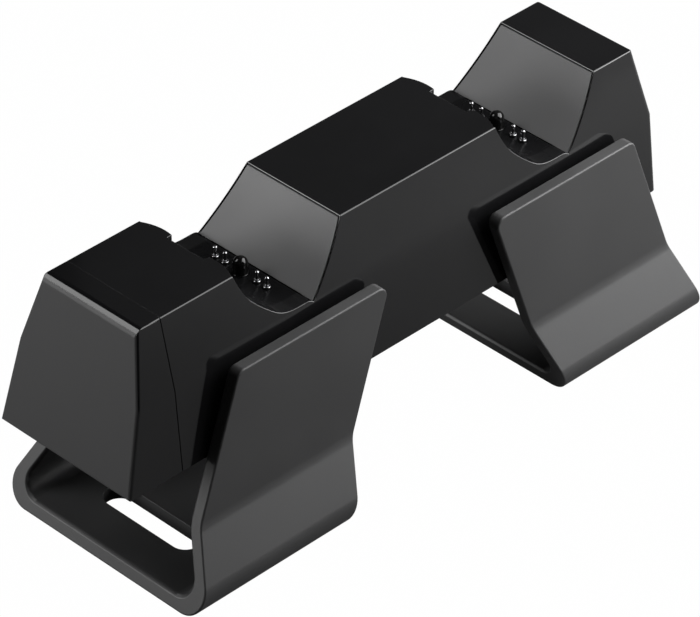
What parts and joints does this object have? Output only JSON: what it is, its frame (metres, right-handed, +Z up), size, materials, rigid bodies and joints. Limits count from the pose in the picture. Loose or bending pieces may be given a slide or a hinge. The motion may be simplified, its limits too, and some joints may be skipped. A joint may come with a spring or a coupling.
{
  "type": "controller charging dock",
  "caption": "Charging dock for two game controllers: a faceted bar with scooped cradles, sprung contacts, locating posts and backrests, on two bent U-shaped stands.",
  "frame": {"origin": "middle of the footprint, on the desk under the rubber pads", "axes": "+X along the bar from the near end cap to the far end, +Y to the left side with the power inlet, +Z up"},
  "size_m": [0.1744, 0.0623, 0.0713],
  "materials": {
    "bar_black": "polished black",
    "cap_black": "black, matt on the end face",
    "base_black": "fine texture",
    "stand_black": "satin black",
    "rest_grey": "fine satin grey",
    "post_black": "polished black",
    "contact_metal": "bright plated",
    "board_green": "circuit board",
    "inlet_steel": "pressed sheet",
    "screw_steel": "zinc plated",
    "pad_rubber": "matt"
  },
  "bodies": {
    "dock": {"housing": "bar_black", "end_cap": "cap_black", "bottom_cover": "base_black", "stand_near": "stand_black", "backrest_near": "rest_grey", "post_near": "post_black", "barrel_near_1": "contact_metal", "barrel_near_2": "contact_metal", "barrel_near_3": "contact_metal", "barrel_near_4": "contact_metal", "contact_board_near": "board_green", "pad_near_front": "pad_rubber", "pad_near_rear": "pad_rubber", "board_screw_near_left": "screw_steel", "stand_screw_near_left_1": "screw_steel", "stand_screw_near_left_2": "screw_steel", "board_screw_near_right": "screw_steel", "stand_screw_near_right_1": "screw_steel", "stand_screw_near_right_2": "screw_steel", "stand_far": "stand_black", "backrest_far": "rest_grey", "post_far": "post_black", "barrel_far_1": "contact_metal", "barrel_far_2": "contact_metal", "barrel_far_3": "contact_metal", "barrel_far_4": "contact_metal", "contact_board_far": "board_green", "pad_far_front": "pad_rubber", "pad_far_rear": "pad_rubber", "board_screw_far_left": "screw_steel", "stand_screw_far_left_1": "screw_steel", "stand_screw_far_left_2": "screw_steel", "board_screw_far_right": "screw_steel", "stand_screw_far_right_1": "screw_steel", "stand_screw_far_right_2": "screw_steel", "cover_screw_left_1": "screw_steel", "cover_screw_left_2": "screw_steel", "cover_screw_left_3": "screw_steel", "cover_screw_right_1": "screw_steel", "cover_screw_right_2": "screw_steel", "cover_screw_right_3": "screw_steel", "main_board": "board_green", "power_inlet": "inlet_steel"},
    "plunger_near_1": {"plunger_near_1": "contact_metal"},
    "plunger_near_2": {"plunger_near_2": "contact_metal"},
    "plunger_near_3": {"plunger_near_3": "contact_metal"},
    "plunger_near_4": {"plunger_near_4": "contact_metal"},
    "plunger_far_1": {"plunger_far_1": "contact_metal"},
    "plunger_far_2": {"plunger_far_2": "contact_metal"},
    "plunger_far_3": {"plunger_far_3": "contact_metal"},
    "plunger_far_4": {"plunger_far_4": "contact_metal"}
  },
  "joints": [
    {"name": "press_near_1", "type": "slide", "parent": "dock", "child": "plunger_near_1", "axis": [0, 0, -1], "range_m": [0, 0.001], "stiffness_N_per_m": 400, "springref_m": -0.0006},
    {"name": "press_near_2", "type": "slide", "parent": "dock", "child": "plunger_near_2", "axis": [0, 0, -1], "range_m": [0, 0.001], "stiffness_N_per_m": 400, "springref_m": -0.0006},
    {"name": "press_near_3", "type": "slide", "parent": "dock", "child": "plunger_near_3", "axis": [0, 0, -1], "range_m": [0, 0.001], "stiffness_N_per_m": 400, "springref_m": -0.0006},
    {"name": "press_near_4", "type": "slide", "parent": "dock", "child": "plunger_near_4", "axis": [0, 0, -1], "range_m": [0, 0.001], "stiffness_N_per_m": 400, "springref_m": -0.0006},
    {"name": "press_far_1", "type": "slide", "parent": "dock", "child": "plunger_far_1", "axis": [0, 0, -1], "range_m": [0, 0.001], "stiffness_N_per_m": 400, "springref_m": -0.0006},
    {"name": "press_far_2", "type": "slide", "parent": "dock", "child": "plunger_far_2", "axis": [0, 0, -1], "range_m": [0, 0.001], "stiffness_N_per_m": 400, "springref_m": -0.0006},
    {"name": "press_far_3", "type": "slide", "parent": "dock", "child": "plunger_far_3", "axis": [0, 0, -1], "range_m": [0, 0.001], "stiffness_N_per_m": 400, "springref_m": -0.0006},
    {"name": "press_far_4", "type": "slide", "parent": "dock", "child": "plunger_far_4", "axis": [0, 0, -1], "range_m": [0, 0.001], "stiffness_N_per_m": 400, "springref_m": -0.0006}
  ]
}
